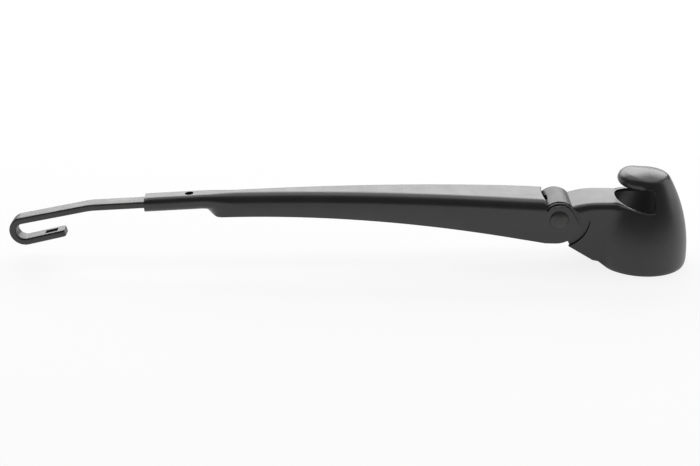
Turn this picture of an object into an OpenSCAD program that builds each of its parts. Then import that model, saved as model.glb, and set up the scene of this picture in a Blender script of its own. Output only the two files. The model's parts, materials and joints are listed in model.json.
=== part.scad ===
// Rear wiper arm: hooked flat bar, pressed channel, sprung knuckle joint and hooded head.
// The origin is the centre of the spindle bore's lower mouth. +Z runs up along the spindle
// and the arm reaches out along -X.

/* [Head] */
// Distance from the spindle axis to the pivot
pivot_reach = 51; // [48:0.5:56]
// Height of the pivot above the bore's lower mouth
pivot_h = 28.5; // [27:0.5:30]
// Radius of the knuckle round the pivot
knuckle_r = 10.2; // [9.8:0.1:10.6]
// Width of the knuckle and the cheeks behind it
knuckle_w = 22.4; // [20:0.2:23]
// Radius of the spindle boss at its foot
boss_r = 12; // [11:0.5:14]
// Height of the spindle boss up to the nut seat
boss_h = 15; // [13:0.5:17]
// Radius of the straight mouth of the spindle bore
bore_r = 5.2; // [4.6:0.1:5.6]
// Length of the straight mouth of the spindle bore
bore_len = 6; // [4:0.5:8]
// Radius of the spindle bore at the nut seat, after its taper
bore_top_r = 4.1; // [3.6:0.1:4.4]

/* [Pivot] */
// Radius of the rivet's shank
rivet_r = 4; // [3.6:0.1:4.2]
// Radius of the rivet's heads
rivet_head_r = 5.5; // [5:0.1:6.2]
// Height of the straight rim of a rivet head
rivet_rim_h = 0.9; // [0.6:0.1:1.4]
// Height of the low dome on a rivet head
rivet_dome_h = 0.9; // [0.6:0.1:1.4]
// Radial clearance of the rivet in its bushes
pivot_clear = 0.05; // [0.02:0.01:0.1]
// Wall of a bush
bush_wall = 1.45; // [1.2:0.05:1.8]
// Radius of a bush's flange
bush_flange_r = 7.5; // [7:0.1:8]
// Gap between the faces that turn against each other at the pivot
face_gap = 0.1; // [0.05:0.05:0.2]

/* [Arm channel] */
// Thickness of the pressed sheet
sheet_t = 1.5; // [1.4:0.1:1.6]
// Reach from the spindle axis to the mouth of the sleeve
sleeve_reach = 290; // [280:1:300]
// Length of the sleeve
sleeve_len = 33; // [30:1:38]
// Slope of the sleeve and the bar in it, in degrees
sleeve_tilt = 3.3; // [2.8:0.1:3.8]
// Length over which the flanges step down from the sleeve
step_len = 8; // [6:0.5:10]
// Height of the web's highest point
web_top = 41.35; // [40.8:0.05:42]
// Radius of the web's long arch
web_arch_r = 1945; // [1800:5:2200]
// Reach at which the web is highest
web_crest = 160; // [140:1:180]
// Height of the flanges' lower edge where it is level
edge_top = 27.1; // [26.4:0.1:27.8]
// Radius of the flanges' curved lower edge
edge_arch_r = 800; // [760:5:900]
// Reach at which the lower edge is level
edge_crest = 205; // [195:1:215]
// Bend radius outside, next to the pivot
bend_r = 4.2; // [3.4:0.1:4.8]
// Reach at which the taper ends and the channel has its full width
taper_reach = 72; // [66:1:84]
// Radius of the hollow cut that ends the web
web_cut_r = 48; // [40:1:60]
// Gap between the pivot axis and the web's end, at its middle
web_cut_gap = 9; // [8.4:0.1:10]
// Radius of the ear's top, round the pivot
ear_top_r = 8.6; // [8.2:0.1:9]
// Radius of the ear's lower edge
ear_low_r = 14; // [13:0.1:14.6]
// Radius of the ear's rear corner
ear_corner_r = 2.6; // [1.6:0.1:3.4]
// Radius of the round hole in the sleeve
sleeve_hole_r = 2.45; // [2:0.05:2.8]
// Distance from the sleeve's inner end to the round hole in its top
sleeve_hole_gap = 7.3; // [5:0.1:12]

/* [Blade bar] */
// Width of the flat bar
bar_w = 9; // [8:0.1:9.4]
// Thickness of the flat bar
bar_t = 4; // [3.6:0.1:4.2]
// Length of the bar's tail, inside the channel
bar_tail = 71; // [65:1:73]
// Distance from the sleeve's mouth to the bend before the hook
bar_bend_gap = 32; // [26:1:36]
// Slope of the bar beyond the bend, in degrees
hook_tilt = 11.6; // [10:0.1:13]
// Slope of the hook's free limb, in degrees
limb_tilt = 13.5; // [12:0.1:15]
// Distance from that bend to the hook's bend centre
hook_gap = 39.45; // [34:0.05:44]
// Inner radius of the hook, which the blade's pin housing fills
hook_inner_r = 4.75; // [4.4:0.05:5.2]
// Length of the hook's free limb
limb_len = 22.3; // [20:0.1:24]
// Corner radius at the free limb's end
limb_corner_r = 2; // [1:0.1:3]
// Length of the slot in the free limb
slot_len = 7.1; // [6:0.1:8]
// Width of the slot in the free limb
slot_w = 3.5; // [3:0.1:4]
// Distance along the free limb to the slot's middle
slot_at = 14.4; // [12:0.1:16]
// Clearance between the bar and the sleeve round it
bar_clear = 0.05; // [0.02:0.01:0.08]

/* [Spring] */
// Place of the link pin beside the pivot, towards the hook
link_pin_dx = 4; // [3.6:0.1:4.4]
// Place of the link pin below the pivot
link_pin_dz = 8; // [7.6:0.1:8.4]
// Radius of the link pin
link_pin_r = 1.75; // [1.5:0.05:2]
// Radial clearance of the link on its pin
link_clear = 0.06; // [0.03:0.01:0.1]
// Thickness of the link plate
link_t = 4; // [3:0.1:4.6]
// Width of the link between its eyes
link_w = 4.4; // [4:0.1:5]
// Distance between the link's two eyes
link_len = 28; // [26:0.5:30]
// How far the link bows clear of the rivet
link_bow = 2.2; // [1.8:0.1:2.6]
// Angle through which the link turns as the arm lifts, in degrees
link_sweep = 69; // [60:1:69]
// Radius of the spring hook's eye in the link
link_hole_r = 1.5; // [1.3:0.05:1.7]
// Mean radius of the spring's coil
coil_r = 4.5; // [4:0.1:4.8]
// Diameter of the spring wire
wire_d = 1.8; // [1.4:0.1:2]
// Pitch of the spring's coil as fitted
coil_pitch = 2.4; // [2.1:0.1:3]
// Length of the straight wire and loop between the coil and the bar
coil_tail = 26.6; // [22:0.1:32]

/* [Cover] */
// Thickness of the cover's wall
cover_wall = 2; // [1.8:0.1:2.4]
// Largest radius of the dome
dome_r = 27; // [26:0.1:28]
// Depth of the dome's rim below the bore's lower mouth
rim_drop = 1.8; // [1:0.1:5]
// Radius of the dome's tall side arc
dome_arc_r = 94; // [86:1:110]
// Radius of the tuck at the dome's foot
foot_arc_r = 8; // [8:0.5:14]
// Height of the dome's widest place
dome_wide_z = 1; // [0:0.1:2]
// Width of the neck over its two flanks
neck_w = 27.8; // [27:0.1:28.4]
// Radius of the hollow fillet between a flank and the dome
neck_fillet_r = 12; // [8:0.5:16]
// Height of the bridge's highest point
bridge_top = 37.8; // [37.4:0.1:38.2]
// Radius of the bridge's arch from front to back
bridge_arch_r = 50; // [44:1:60]
// Reach of the bridge's highest point
bridge_crest = 27.8; // [26:0.1:29]
// Radius of the bridge's rounded side edges
bridge_edge_r = 2.8; // [2.5:0.1:4]
// Radius of the flanks' front edge round the pivot
flank_front_r = 18.2; // [17.6:0.1:19]
// Height of the visor's lower edge at the front
visor_z = 45.5; // [44.5:0.1:46]
// Height of the opening's top beside the visor
visor_back_z = 47.2; // [46.6:0.1:47.8]
// Radius of the visor at its widest, at the front
visor_r = 16.5; // [15.6:0.1:17.4]
// Height of the top of the dome
dome_top = 53.6; // [53.4:0.1:55]
// Height of the opening's sill at its closed end
sill_z = 34.6; // [34:0.1:36]
// Radius of the sill's hollow curve from there up to the bridge
sill_arc_r = 65; // [50:1:90]
// Distance by which the opening reaches past the spindle axis
slot_reach = 2.2; // [0.5:0.1:4]
// Thickness of a prong that carries the cover on the pivot bush
prong_t = 1.3; // [1:0.05:1.4]
// Radial clearance of the prong's eye on the bush flange
prong_clear = 0.06; // [0.03:0.01:0.1]

/* [Hidden] */
$fn = 96;
metal_black = [0.16, 0.165, 0.165];
plastic_black = [0.13, 0.13, 0.135];
cast_grey = [0.45, 0.46, 0.47];
steel_grey = [0.6, 0.6, 0.62];
bush_cream = [0.75, 0.73, 0.66];
far_away = 400;
cut_over = 1;

pivot_x = -pivot_reach;
knuckle_half = knuckle_w / 2;
bush_r = rivet_r + pivot_clear + bush_wall;
flange_half = knuckle_half + prong_t + 2 * face_gap;
ear_inner = flange_half + face_gap;
ear_outer = ear_inner + sheet_t;

sleeve_root = sleeve_reach - sleeve_len;
sleeve_hole_reach = sleeve_root + sleeve_hole_gap;
bar_bend_reach = sleeve_reach + bar_bend_gap;
hook_reach = bar_bend_reach + hook_gap;
bar_hole_w = bar_w + 2 * bar_clear;
sleeve_w = bar_hole_w + 2 * sheet_t;
// The bar's square corners clear the sleeve's inner bends, so there is more room over the bar
bar_over = 0.22;
bar_mid = sheet_t + bar_over + bar_t / 2;
sleeve_h = bar_mid + bar_t / 2 + bar_clear + sheet_t;
sleeve_bend_r = sheet_t + 0.4;
sleeve_seam = 0.8;
flap_lift = 0.05;

link_pin_x = pivot_x - link_pin_dx;
link_pin_z = pivot_h - link_pin_dz;
spring_slot_w = link_t + 2.4;
lug_r = link_pin_r + 2.3;

neck_half = neck_w / 2;
fillet_y = neck_half + neck_fillet_r;
prong_inner = knuckle_half + face_gap;
prong_outer = prong_inner + prong_t;
prong_ring_wall = 2.1;
prong_ring_r = bush_flange_r + prong_clear + prong_ring_wall;
prong_root = 1.6;
// Gap between the cover and what it covers
cover_gap = 0.3;
neck_front = pivot_x + 5;
// Side view of the neck: the flanks' line from the lip to their front edge, and their lower edge
lip_line = [[pivot_x + 7.7, pivot_h + 6.4], [pivot_x + 17.8, pivot_h - 1]];
under_line = [[pivot_x + 6.4, pivot_h - 16.8], [pivot_x + 20.1, 3.3], [pivot_x + 20.2, 2.9], [-25.9, 1.8], [-23.2, 1.5]];

function smooth(t) = let (c = min(max(t, 0), 1)) c * c * (3 - 2 * c);
function mix(a, b, t) = a + (b - a) * t;
// Height of a shallow circular arch of radius r whose crest is at (x0, z0)
function arch(x, x0, z0, r) = z0 - r + sqrt(r * r - (x - x0) * (x - x0));
// Points along an arc round (cx, cz), from angle a0 to a1 in n steps
function arc(cx, cz, r, a0, a1, n) =
    [for (i = [0:n]) let (a = mix(a0, a1, i / n)) [cx + r * cos(a), cz + r * sin(a)]];

// Draws a side view in X and Z and gives it a width across Y
module across(width) {
    rotate([90, 0, 0]) linear_extrude(height = width, center = true) children();
}

// The same side view as a plate on one side, from y0 to y1
module side_plate(y0, y1) {
    translate([0, y1, 0]) rotate([90, 0, 0]) linear_extrude(height = y1 - y0) children();
}

// Cylinder along Y from y0 to y1
module rod_y(x, z, r, y0, y1) {
    translate([x, y0, z]) rotate([-90, 0, 0]) cylinder(h = y1 - y0, r = r);
}

// Faces that close a ring of n points by strips between point k and its partner n - 1 - k
function strip_faces(n, first) = [for (k = [0:n / 2 - 2]) [first + k, first + k + 1, first + n - 2 - k, first + n - 1 - k]];
function turned(face) = [for (i = [1:len(face)]) face[len(face) - i]];

// Faces between rings of n points each, m rings in all
function side_faces(n, m) = [for (i = [0:m - 2]) for (j = [0:n - 1])
    let (a = i * n + j, b = i * n + (j + 1) % n) each [[a, b, b + n], [a, b + n, a + n]]];

// Skins rings that each lie in one plane and run clockwise seen from the last ring's side
module skin(rings) {
    n = len(rings[0]);
    m = len(rings);
    polyhedron(points = [for (ring = rings) each ring], convexity = 8,
        faces = concat(side_faces(n, m), [[for (j = [0:n - 1]) n - 1 - j], [for (j = [0:n - 1]) (m - 1) * n + j]]));
}

// Arm channel

function web_arch(x) = arch(x, -web_crest, web_top, web_arch_r);
sleeve_slope = tan(sleeve_tilt);
function sleeve_top(x) = web_arch(-sleeve_root) + (x + sleeve_root) * sleeve_slope;
// Height of the top face: straight along the sleeve, then arched
function web_z(x) = x < -sleeve_root ? sleeve_top(x) : web_arch(x);
function taper(x) = smooth((x + sleeve_root - 15) / (sleeve_root - 15 - taper_reach));
function channel_half(x) = mix(sleeve_w / 2, ear_outer, taper(x));
function channel_bend(x) = mix(sleeve_bend_r, bend_r, taper(x));
function step_share(x) = smooth((x + sleeve_root) / step_len);
function edge_z(x) = mix(sleeve_top(x) - sleeve_h, arch(x, -edge_crest, edge_top, edge_arch_r), step_share(x));

bend_steps = 6;
// Cross-section of the channel at x, near flange first, outside and then inside
function channel_ring(x) = let (
    w = channel_half(x), r = channel_bend(x), top = web_z(x), low = edge_z(x), ri = r - sheet_t,
    outside = concat(
        [[-w, low]],
        [for (p = arc(-w + r, top - r, r, 180, 90, bend_steps)) p],
        [for (p = arc(w - r, top - r, r, 90, 0, bend_steps)) p],
        [[w, low]]),
    inside = concat(
        [[w - sheet_t, low]],
        [for (p = arc(w - r, top - r, ri, 0, 90, bend_steps)) p],
        [for (p = arc(-w + r, top - r, ri, 90, 180, bend_steps)) p],
        [[-w + sheet_t, low]]))
    [for (p = concat(outside, inside)) [x, p[0], p[1]]];

channel_end = pivot_x - 7.2;
step_stations = 8;
body_stations = 30;
channel_stations = concat([-sleeve_reach],
    [for (i = [0:step_stations - 1]) -sleeve_root + step_len * i / step_stations],
    [for (i = [0:body_stations]) mix(-sleeve_root + step_len, channel_end, i / body_stations)]);

// The folded sheet, skinned from the sleeve's mouth to the pivot
module channel_skin() {
    rings = [for (x = channel_stations) channel_ring(x)];
    n = len(rings[0]);
    m = len(rings);
    polyhedron(points = [for (ring = rings) each ring], convexity = 8, faces = concat(side_faces(n, m),
        [for (face = strip_faces(n, 0)) turned(face)], strip_faces(n, (m - 1) * n)));
}

// The two edges of the sleeve, folded in under the bar until they almost meet
module sleeve_flaps() {
    length = sleeve_len / cos(sleeve_tilt);
    width = sleeve_w / 2 - sheet_t / 2 - sleeve_seam / 2;
    for (side = [-1, 1]) translate([-sleeve_root, side * (sleeve_seam + width) / 2, sleeve_top(-sleeve_root)])
        rotate([0, -sleeve_tilt, 0]) translate([-length, -width / 2, flap_lift - sleeve_h])
            cube([length, width, sheet_t - flap_lift]);
}

// Unit normal of the ear's straight rear edge, which is tangent to its round top
ear_edge_a = 29.8;
ear_n = [cos(ear_edge_a), sin(ear_edge_a)];
ear_t = [sin(ear_edge_a), -cos(ear_edge_a)];
ear_low_c = [-1, -1];
// Centre of the rear corner, inside both the straight edge and the lower arc
ear_corner_a = ear_n * (ear_top_r - ear_corner_r) - ear_low_c;
ear_corner_b = ear_corner_a * ear_t;
ear_corner_run = -ear_corner_b + sqrt(ear_corner_b * ear_corner_b - ear_corner_a * ear_corner_a
    + (ear_low_r - ear_corner_r) * (ear_low_r - ear_corner_r));
ear_corner = ear_n * (ear_top_r - ear_corner_r) + ear_t * ear_corner_run;
ear_corner_out = (ear_corner - ear_low_c) / norm(ear_corner - ear_low_c);
ear_root_x = -11;
// The ear's lower edge reaches this far below the flange's, so that the two cross cleanly
ear_lap = 0.05;

// Outline of an ear round the pivot, seen from the side
module ear_outline() {
    circle(ear_top_r);
    difference() {
        intersection() {
            translate(ear_low_c) circle(ear_low_r);
            polygon([ear_n * ear_top_r, ear_n * ear_top_r + ear_t * far_away,
                -ear_n * far_away + ear_t * far_away, -ear_n * far_away, [0, 0]]);
        }
        difference() {
            polygon([ear_corner, ear_corner + ear_n * ear_corner_r,
                ear_corner + (ear_n + ear_corner_out) * far_away, ear_corner + ear_corner_out * ear_corner_r]);
            translate(ear_corner) circle(ear_corner_r);
        }
        translate([-far_away - 1, -far_away]) square([far_away, 2 * far_away]);
    }
    polygon([[ear_root_x, edge_z(pivot_x + ear_root_x) - pivot_h + 1],
        [channel_end - pivot_x, edge_z(channel_end) - pivot_h - ear_lap], [ear_low_c[0], ear_low_c[1] - ear_low_r], [0, 0],
        [-ear_top_r * cos(45), ear_top_r * sin(45)], [ear_root_x, ear_top_r * sin(45)]]);
}

module arm_channel() {
    color(metal_black) difference() {
        union() {
            difference() {
                channel_skin();
                translate([pivot_x - web_cut_gap + web_cut_r, 0, pivot_h]) cylinder(h = far_away, r = web_cut_r);
                translate([-sleeve_hole_reach, 0, sleeve_top(-sleeve_hole_reach) - bar_mid])
                    cylinder(h = sleeve_h, r = sleeve_hole_r);
            }
            for (y0 = [-ear_outer, ear_inner]) side_plate(y0, y0 + sheet_t)
                translate([pivot_x, pivot_h]) ear_outline();
            sleeve_flaps();
        }
        rod_y(pivot_x, pivot_h, rivet_r, -far_away, far_away);
    }
}

// Blade bar

bar_start_z = sleeve_top(-sleeve_root) - bar_mid;
function bar_z(x) = bar_start_z + (x + sleeve_root) * sleeve_slope;
hook_mid_r = hook_inner_r + bar_t / 2;
bend_x = -bar_bend_reach;
bend_z = bar_z(bend_x);
hook_x = -hook_reach;
hook_top_x = hook_x - hook_mid_r * sin(hook_tilt);
hook_top_z = bend_z + (hook_top_x - bend_x) * tan(hook_tilt);
hook_z = hook_top_z - hook_mid_r * cos(hook_tilt);
limb_x = hook_x + hook_mid_r * sin(limb_tilt);
limb_z = hook_z - hook_mid_r * cos(limb_tilt);

bar_tail_tilt = 2.2;
bar_tail_len = bar_tail / cos(bar_tail_tilt);
anchor_back = 4;
anchor_x = -sleeve_root + (bar_tail_len - anchor_back) * cos(bar_tail_tilt);
anchor_z = bar_start_z - (bar_tail_len - anchor_back) * sin(bar_tail_tilt);
anchor_r = 1.6;
tail_end = [-sleeve_root, bar_start_z] + bar_tail_len * [cos(bar_tail_tilt), -sin(bar_tail_tilt)];

function way(a) = [cos(a), sin(a)];
function left_of(a) = [-sin(a), cos(a)];
// Rounded corner of a line that turns left from way a0 to way a1, as points with their ways
function turn(corner, a0, a1, r, n) = let (c = corner - r * tan((a1 - a0) / 2) * way(a0) + r * left_of(a0))
    [for (i = [0:n]) let (a = mix(a0, a1, i / n)) [c - r * left_of(a), a]];

root_turn_r = 30;
bend_turn_r = 45;
hook_turns = 40;
// Middle line of the bar from its inner end round the hook to the free limb's end
bar_line = concat(
    [[tail_end, 180 - bar_tail_tilt]],
    turn([-sleeve_root, bar_start_z], 180 - bar_tail_tilt, 180 + sleeve_tilt, root_turn_r, 4),
    turn([bend_x, bend_z], 180 + sleeve_tilt, 180 + hook_tilt, bend_turn_r, 6),
    [for (i = [0:hook_turns]) let (a = mix(180 + hook_tilt, 360 + limb_tilt, i / hook_turns))
        [[hook_x, hook_z] - hook_mid_r * left_of(a), a]],
    [[[limb_x, limb_z] + limb_len * way(limb_tilt), 360 + limb_tilt]]);

module blade_bar() {
    color(metal_black) difference() {
        across(bar_w) polygon(concat(
            [for (p = bar_line) p[0] - bar_t / 2 * left_of(p[1])],
            [for (i = [1:len(bar_line)]) let (p = bar_line[len(bar_line) - i]) p[0] + bar_t / 2 * left_of(p[1])]));
        translate([limb_x, 0, limb_z]) rotate([0, -limb_tilt, 0]) {
            translate([slot_at - slot_len / 2, -slot_w / 2, -bar_t]) cube([slot_len, slot_w, 2 * bar_t]);
            for (side = [-1, 1]) translate([limb_len - limb_corner_r, side * (bar_w / 2 - limb_corner_r), -bar_t])
                difference() {
                    translate([0, side > 0 ? 0 : -limb_corner_r - cut_over, 0])
                        cube([limb_corner_r + cut_over, limb_corner_r + cut_over, 2 * bar_t]);
                    cylinder(h = 2 * bar_t, r = limb_corner_r);
                }
        }
        translate([anchor_x, 0, anchor_z - bar_t]) cylinder(h = 2 * bar_t, r = anchor_r);
    }
}

// Pivot

module rivet_head(side) {
    dome_r = (rivet_head_r * rivet_head_r + rivet_dome_h * rivet_dome_h) / (2 * rivet_dome_h);
    translate([pivot_x, side * ear_outer, pivot_h]) rotate([-90 * side, 0, 0]) {
        cylinder(h = rivet_rim_h, r = rivet_head_r);
        translate([0, 0, rivet_rim_h]) intersection() {
            translate([0, 0, rivet_dome_h - dome_r]) sphere(dome_r, $fn = 128);
            cylinder(h = rivet_dome_h, r = rivet_head_r);
        }
    }
}

module pivot_rivet() {
    color(metal_black) {
        rod_y(pivot_x, pivot_h, rivet_r, -ear_outer, ear_outer);
        rivet_head(-1);
        rivet_head(1);
    }
}

// One flanged bush, drawn on the side that side gives
module pivot_bush(side) {
    inner = spring_slot_w / 2;
    color(bush_cream) translate([pivot_x, 0, pivot_h]) rotate([-90 * side, 0, 0]) difference() {
        union() {
            translate([0, 0, inner]) cylinder(h = knuckle_half - inner, r = bush_r);
            translate([0, 0, knuckle_half]) cylinder(h = flange_half - knuckle_half, r = bush_flange_r);
        }
        cylinder(h = far_away, r = rivet_r + pivot_clear);
    }
}

module pivot_bush_near() { pivot_bush(-1); }
module pivot_bush_far() { pivot_bush(1); }

// Mounting head

// Distance of the casting's neck inside the cover's lower edge and top
neck_inset = 1.7;
neck_floor_z = under_line[4][1] + neck_inset;
neck_roof_z = bridge_top - cover_wall - neck_inset;
neck_roof_r = 18;
neck_knee_x = -boss_r - 16;
neck_end_x = -boss_r / 2;

// Side view of the casting's neck, from the knuckle down to the boss
module neck_side() {
    polygon(concat(
        [[pivot_x, pivot_h], [pivot_x + 9, neck_roof_z - 1.2]],
        arc(neck_knee_x, neck_roof_z - neck_roof_r, neck_roof_r, 105, 25, 12),
        [[-boss_r + 0.6, boss_h], [neck_end_x, boss_h - 2], [neck_end_x, neck_floor_z], [under_line[3][0], neck_floor_z],
            under_line[1] + [0, neck_inset], under_line[0] + [0, neck_inset], [pivot_x + 1, pivot_h - knuckle_r]]));
}

// Side view of the room that the link sweeps, up to its steepest place
module link_room() {
    a = spring_angle - link_sweep;
    corner = [link_pin_x, link_pin_z] + (link_w / 2 + 0.7) * [sin(a), -cos(a)];
    polygon([[link_pin_x, link_pin_z], corner, corner + far_away * [cos(a), sin(a)], [-far_away, far_away],
        [-far_away, -far_away], [link_pin_x, -far_away]]);
}

// Width of the neck beside the boss, and where its two sides start to close in on it
boss_neck_half = boss_r - 2.5;
neck_taper_x = -30;
lug_web = [[pivot_x + 7, pivot_h - 13.6], [pivot_x + 6, pivot_h]];
pocket_wall = 3;
pocket_rib = 2.4;
pocket_w = knuckle_half - pocket_wall - pocket_rib / 2;
// Side view of the pocket that is open below, on each side of the middle rib
pocket_side = [[pivot_x + 9, 0], [pivot_x + 9, 19], [pivot_x + 15, 30], [pivot_x + 23, 31], [-21, 26],
    [-boss_r - 1, 10], [-boss_r - 1, 0]];
module mounting_head() {
    color(cast_grey) difference() {
        union() {
            intersection() {
                across(knuckle_w) neck_side();
                translate([0, 0, -far_away / 2]) linear_extrude(height = far_away) polygon([
                    [pivot_x, -knuckle_half], [neck_taper_x, -knuckle_half], [0, -boss_neck_half],
                    [0, boss_neck_half], [neck_taper_x, knuckle_half], [pivot_x, knuckle_half]]);
            }
            rod_y(pivot_x, pivot_h, knuckle_r, -knuckle_half, knuckle_half);
            rod_y(link_pin_x, link_pin_z, lug_r, -knuckle_half, knuckle_half);
            across(knuckle_w) polygon([[link_pin_x, link_pin_z - lug_r], lug_web[0], lug_web[1], [pivot_x, pivot_h]]);
            cylinder(h = boss_h, r1 = boss_r, r2 = boss_r - 1);
        }
        cylinder(h = 2 * bore_len, r = bore_r, center = true);
        translate([0, 0, bore_len]) cylinder(h = boss_h - bore_len, r1 = bore_r, r2 = bore_top_r);
        translate([0, 0, boss_h - cut_over]) cylinder(h = 2 * cut_over, r = bore_top_r);
        rod_y(pivot_x, pivot_h, bush_r, -far_away, far_away);
        rod_y(link_pin_x, link_pin_z, link_pin_r, -far_away, far_away);
        across(spring_slot_w) link_room();
        rod_y(link_pin_x, link_pin_z, lug_r + 0.4, -spring_slot_w / 2, spring_slot_w / 2);
        for (side = [-1, 1]) translate([0, side * (pocket_rib + pocket_w) / 2, 0])
            across(pocket_w) polygon(pocket_side);
    }
}

module link_pin() {
    color(steel_grey) rod_y(link_pin_x, link_pin_z, link_pin_r, -knuckle_half + 0.3, knuckle_half - 0.3);
}

// Spring and link, laid out along the line from the link pin to the bar's inner end

spring_dx = anchor_x - link_pin_x;
spring_dz = anchor_z - link_pin_z;
spring_len = norm([spring_dx, spring_dz]);
spring_angle = atan2(spring_dz, spring_dx);
bow_r = (link_len * link_len / 4 + link_bow * link_bow) / (2 * link_bow);
bow_half_a = asin(link_len / 2 / bow_r);

// Puts its children's +X along the spring, with its origin at the link pin
module along_spring() {
    translate([link_pin_x, 0, link_pin_z]) rotate([0, -spring_angle, 0]) children();
}

module spring_link() {
    color(steel_grey) along_spring() across(link_t) difference() {
        union() {
            circle(link_pin_r + 1.85);
            translate([link_len, 0]) circle(link_hole_r + 1.9);
            difference() {
                intersection() {
                    translate([link_len / 2, link_bow - bow_r]) circle(bow_r + link_w / 2, $fn = 200);
                    translate([0, -link_w]) square([link_len, far_away]);
                }
                translate([link_len / 2, link_bow - bow_r]) circle(bow_r - link_w / 2, $fn = 200);
            }
        }
        circle(link_pin_r + link_clear);
        translate([link_len, 0]) circle(link_hole_r);
    }
}

wire_sides = 6;
rings_a_turn = 10;
wire_r = wire_d / 2;
coil_start = link_len + 9;
coil_end = spring_len - coil_tail;
coil_len = coil_end - coil_start;
coil_turns = round(coil_len / coil_pitch);
coil_steps = coil_turns * rings_a_turn;
front_eye_r = 3.8;
back_eye_r = 4;
eye_shift = 0.25;
front_eye_x = link_len + front_eye_r - eye_shift;
back_eye_x = spring_len - back_eye_r + eye_shift;
turn_in = 1.6;

// Path of the wire: loop through the link's eye, coil, straight run, loop through the bar's hole
spring_path = concat(
    [for (i = [0:12]) let (a = mix(55, 270, i / 12))
        [front_eye_x + front_eye_r * cos(a), front_eye_r * sin(a), 0]],
    [for (i = [0:4]) let (a = mix(90, 0, i / 4))
        [coil_start - turn_in + turn_in * cos(a), -coil_r, -turn_in + turn_in * sin(a)]],
    [for (i = [2:coil_steps - 2]) let (u = i / coil_steps, a = 180 + (360 * coil_turns + 90) * u)
        [mix(coil_start, coil_end, u), coil_r * cos(a), coil_r * sin(a)]],
    [for (i = [0:4]) let (a = mix(180, 90, i / 4))
        [coil_end + turn_in + turn_in * cos(a), -turn_in + turn_in * sin(a), -coil_r]],
    [for (i = [0:12]) let (a = mix(270, 485, i / 12))
        [back_eye_x + back_eye_r * cos(a), 0, back_eye_r * sin(a)]]);

function unit(v) = v / norm(v);
// Part of v at right angles to the unit vector t, made one long
function square_to(v, t) = unit(v - (v * t) * t);
function path_way(path, i) = unit(path[min(i + 1, len(path) - 1)] - path[max(i - 1, 0)]);

// Skins a round wire along a path, carrying its cross-section along without a twist
module wire(path, r, sides) {
    ways = [for (i = [0:len(path) - 1]) path_way(path, i)];
    ups = [for (i = 0, up = square_to([0, 0, 1], ways[0]); i < len(path);
        i = i + 1, up = square_to(up, ways[min(i, len(path) - 1)])) up];
    skin([for (i = [0:len(path) - 1]) let (side = cross(ups[i], ways[i]))
        [for (j = [0:sides - 1]) let (a = 360 * j / sides) path[i] + r * (cos(a) * ups[i] + sin(a) * side)]]);
}

module tension_spring() {
    color(steel_grey) along_spring() wire(spring_path, wire_r, wire_sides);
}

// Head cover

function dome_radius(z) = let (r = z < dome_wide_z ? foot_arc_r : dome_arc_r)
    dome_r - r + sqrt(r * r - (z - dome_wide_z) * (z - dome_wide_z));
// Top of the bridge at x: an arch at the front, then level
function bridge_z(x) = arch(min(x, -bridge_crest), -bridge_crest, bridge_top, bridge_arch_r);

neck_steps = 6;
fillet_steps = 8;
side_steps = 5;
nose_steps = 15;
fillet_at = neck_steps + fillet_steps;
side_at = fillet_at + side_steps;
plan_last = side_at + nose_steps;
// Point of the cover's plan outline and its outward normal, for a dome of radius r at this level
function plan_point(i, r) = let (
    touch_x = -sqrt(pow(r + neck_fillet_r, 2) - fillet_y * fillet_y),
    touch_a = atan2(fillet_y, touch_x),
    b = mix(-90, touch_a - 180, (i - neck_steps) / fillet_steps),
    c = i <= side_at ? mix(touch_a, 90, (i - fillet_at) / side_steps) : mix(90, 0, (i - side_at) / nose_steps))
    i <= neck_steps ? [[mix(neck_front, touch_x, i / neck_steps), neck_half], [0, 1]]
    : i <= fillet_at ? [[touch_x + neck_fillet_r * cos(b), fillet_y + neck_fillet_r * sin(b)], [-cos(b), -sin(b)]]
    : [r * [cos(c), sin(c)], [cos(c), sin(c)]];
// How much of the rounded top edge this station has: none beside the visor's wall
function edge_share(i) = 1 - smooth((i - fillet_at) / side_steps);

low_steps = 11;
edge_steps = 5;
// Point at station i and level k of the cover's lower body, moved in by the wall when inset is given
function body_point(i, k, inset) = let (
    foot = -rim_drop - (inset > 0 ? cut_over : 0),
    er = bridge_edge_r - inset,
    a = max(k - low_steps, 0) * 90 / edge_steps,
    share = pow(min(k, low_steps) / low_steps, 1.6),
    guess = mix(foot, bridge_top - er, share) + er * sin(a),
    top = bridge_z(plan_point(i, dome_radius(guess))[0][0]) - inset,
    z = mix(foot, top - er, share) + er * sin(a),
    p = plan_point(i, dome_radius(z)),
    q = p[0] - p[1] * (inset + er * (1 - cos(a)) * edge_share(i)))
    [q[0], max(q[1], 0), z];

// Bridge, flanks and lower dome as one skin, closed by strips across from flank to flank
module cover_body(inset) {
    n = 2 * plan_last + 1;
    levels = low_steps + edge_steps;
    points = [for (k = [0:levels]) each concat(
        [for (i = [0:plan_last]) body_point(i, k, inset)],
        [for (i = [1:plan_last]) let (q = body_point(plan_last - i, k, inset)) [q[0], -q[1], q[2]]])];
    last = levels * n;
    strips = [for (i = [0:plan_last - 2]) each [
        [i + 1, i, n - 1 - i, n - 2 - i], [last + i, last + i + 1, last + n - 2 - i, last + n - 1 - i]]];
    tips = [[plan_last, plan_last - 1, plan_last + 1], [last + plan_last - 1, last + plan_last, last + plan_last + 1]];
    polyhedron(points = points, faces = concat(side_faces(n, levels + 1), strips, tips), convexity = 8);
}

// Visor and crown, blended round from the dome's own profile at the back to the visor's at the front
shoulder_r = 5;
shoulder_z = 49.5;
shoulder_a = asin((shoulder_z - dome_wide_z) / dome_arc_r);
shoulder_c = [dome_radius(shoulder_z) - shoulder_r * cos(shoulder_a), shoulder_z - shoulder_r * sin(shoulder_a)];
lip_r = 2.9;
brow_r = 5.3;
brow_c = [visor_r - brow_r, visor_z + lip_r - 0.5];
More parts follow.
